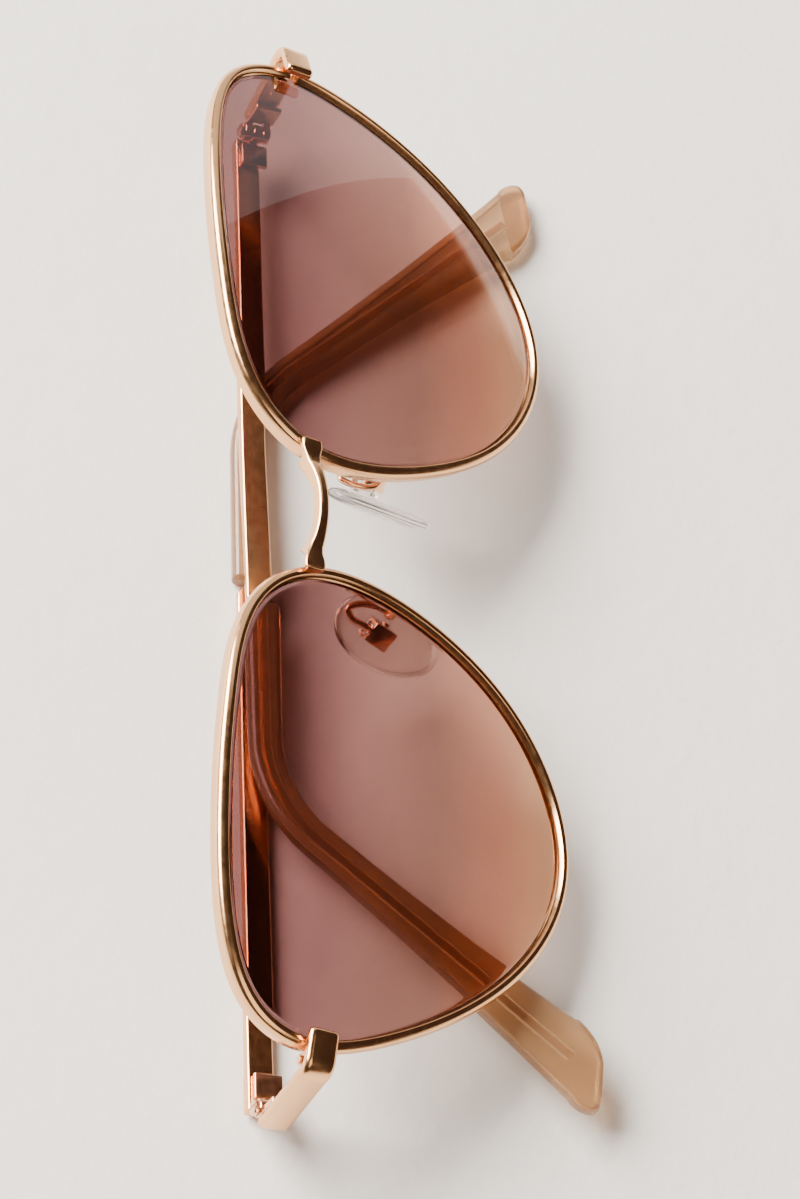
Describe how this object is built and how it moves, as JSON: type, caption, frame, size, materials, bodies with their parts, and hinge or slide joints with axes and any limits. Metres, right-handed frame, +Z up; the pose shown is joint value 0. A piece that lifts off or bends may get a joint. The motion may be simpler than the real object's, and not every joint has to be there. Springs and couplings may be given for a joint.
{
  "type": "aviator sunglasses",
  "caption": "Folding wire-rimmed sunglasses with teardrop tinted lenses, single bridge, adjustable nose pads and sleeved temples, shown folded.",
  "frame": {"origin": "on the surface that the folded sunglasses lie on, under the middle of their footprint", "axes": "+Z up, out through the front of the lenses; +X towards the wearer's left along the front; +Y towards the brow"},
  "size_m": [0.1402, 0.0484, 0.0302],
  "materials": {
    "rose_gold": "polished rose gold plating",
    "rose_gold_small": "satin rose gold plating",
    "screw": "plated screw",
    "lens_tint": "polished, graded rose brown tint",
    "tip_honey": "polished translucent honey acetate",
    "pad_clear": "soft clear silicone"
  },
  "bodies": {
    "front": {"bridge": "rose_gold", "rim_left": "rose_gold", "lens_left": "lens_tint", "endpiece_left": "rose_gold", "front_hinge_left": "rose_gold_small", "hinge_screw_left": "screw", "rim_lock_upper_left": "rose_gold_small", "rim_lock_lower_left": "rose_gold_small", "rim_lock_screw_left": "screw", "pad_arm_left": "rose_gold_small", "pad_box_left": "rose_gold_small", "rim_right": "rose_gold", "lens_right": "lens_tint", "endpiece_right": "rose_gold", "front_hinge_right": "rose_gold_small", "hinge_screw_right": "screw", "rim_lock_upper_right": "rose_gold_small", "rim_lock_lower_right": "rose_gold_small", "rim_lock_screw_right": "screw", "pad_arm_right": "rose_gold_small", "pad_box_right": "rose_gold_small"},
    "temple_left": {"temple_left": "rose_gold", "temple_tip_left": "tip_honey", "temple_hinge_left": "rose_gold_small"},
    "temple_right": {"temple_right": "rose_gold", "temple_tip_right": "tip_honey", "temple_hinge_right": "rose_gold_small"},
    "nose_pad_left": {"nose_pad_left": "pad_clear", "pad_insert_left": "pad_clear", "pad_screw_left": "screw"},
    "nose_pad_right": {"nose_pad_right": "pad_clear", "pad_insert_right": "pad_clear", "pad_screw_right": "screw"}
  },
  "joints": [
    {"name": "temple_left_fold", "type": "hinge", "parent": "front", "child": "temple_left", "pos_m": [0.06744, 0.01338, 0.00587], "axis": [0, -0.9781, -0.2079], "range_deg": [0, 93]},
    {"name": "temple_right_fold", "type": "hinge", "parent": "front", "child": "temple_right", "pos_m": [-0.06712, 0.01399, 0.003], "axis": [0, 0.9781, 0.2079], "range_deg": [0, 91]},
    {"name": "nose_pad_left_rock", "type": "hinge", "parent": "front", "child": "nose_pad_left", "pos_m": [0.01078, 0.002, 0.01354], "axis": [-0.6158, -0.5256, 0.5869], "range_deg": [-8, 8]},
    {"name": "nose_pad_right_rock", "type": "hinge", "parent": "front", "child": "nose_pad_right", "pos_m": [-0.01095, 0.0021, 0.01308], "axis": [0.5854, -0.5311, 0.6126], "range_deg": [-8, 8]}
  ]
}
